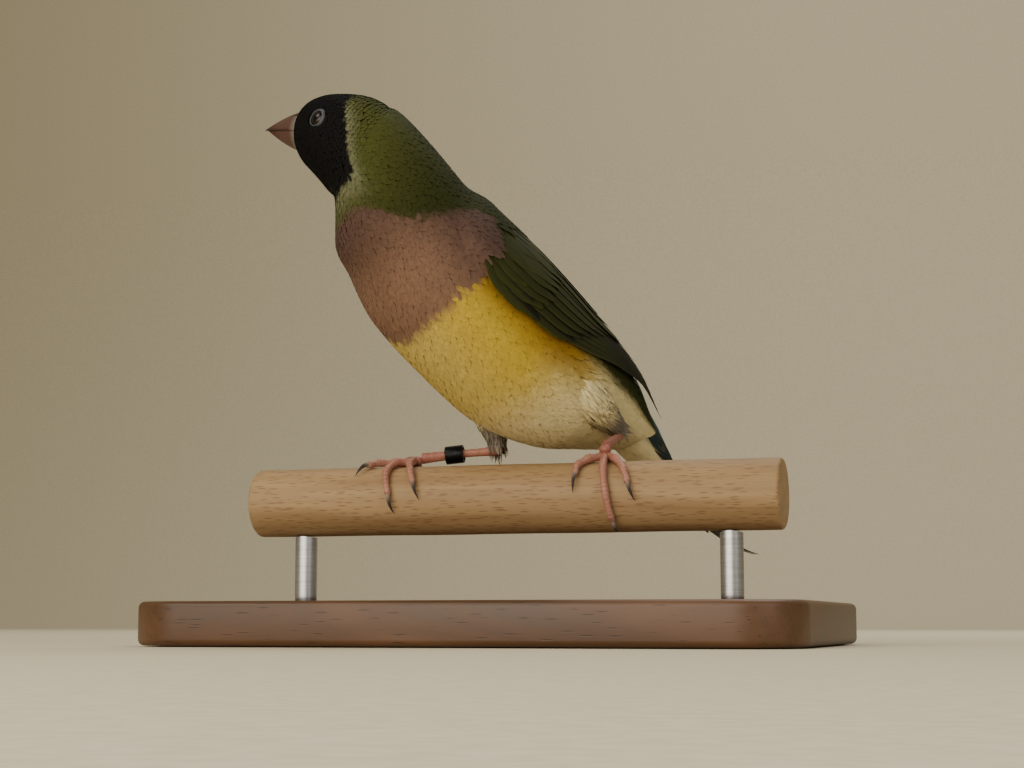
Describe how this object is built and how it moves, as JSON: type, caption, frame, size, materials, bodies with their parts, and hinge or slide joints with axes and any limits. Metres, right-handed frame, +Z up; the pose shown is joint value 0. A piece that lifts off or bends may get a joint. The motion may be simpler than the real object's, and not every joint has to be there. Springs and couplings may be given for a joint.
{
  "type": "gouldian finch model",
  "caption": "Life-size still model of a perched gouldian finch, head turned to its right, on a short wooden perch and a plain stand.",
  "frame": {"origin": "centre of the underside of the stand's base, on the surface it stands on", "axes": "+Z up, +X along the perch towards the side of the tail, -Y towards the side that the breast faces"},
  "size_m": [0.124, 0.0912, 0.1043],
  "materials": {
    "body_feathers": "soft body feathers, mauve-brown breast over a yellow belly",
    "green_feathers": "short olive green feathers",
    "black_feathers": "short black feathers of the mask",
    "wing_feathers": "folded flight feathers, dark olive",
    "tail_feathers": "black tail feathers, grey below",
    "thigh_feathers": "grey-brown downy feathers",
    "bill_horn": "pale pink horn with a darker tip",
    "eye": "dark brown, wet and glossy",
    "leg_skin": "pink scaled skin with grey claws",
    "ring": "plain black leg ring",
    "perch_wood": "bare round dowel, short brown grain flecks",
    "base_wood": "oiled walnut",
    "rod_steel": "brushed"
  },
  "bodies": {
    "root": {"torso": "body_feathers", "neck": "green_feathers", "head": "black_feathers", "bill_upper": "bill_horn", "bill_lower": "bill_horn", "eye_left": "eye", "eye_right": "eye", "wing_left": "wing_feathers", "wing_right": "wing_feathers", "tail": "tail_feathers", "thigh_left": "thigh_feathers", "thigh_right": "thigh_feathers", "shank_left": "leg_skin", "shank_right": "leg_skin", "foot_left": "leg_skin", "foot_right": "leg_skin", "leg_ring": "ring", "perch": "perch_wood", "stand_base": "base_wood", "stand_rod_left": "rod_steel", "stand_rod_right": "rod_steel"}
  },
  "joints": []
}
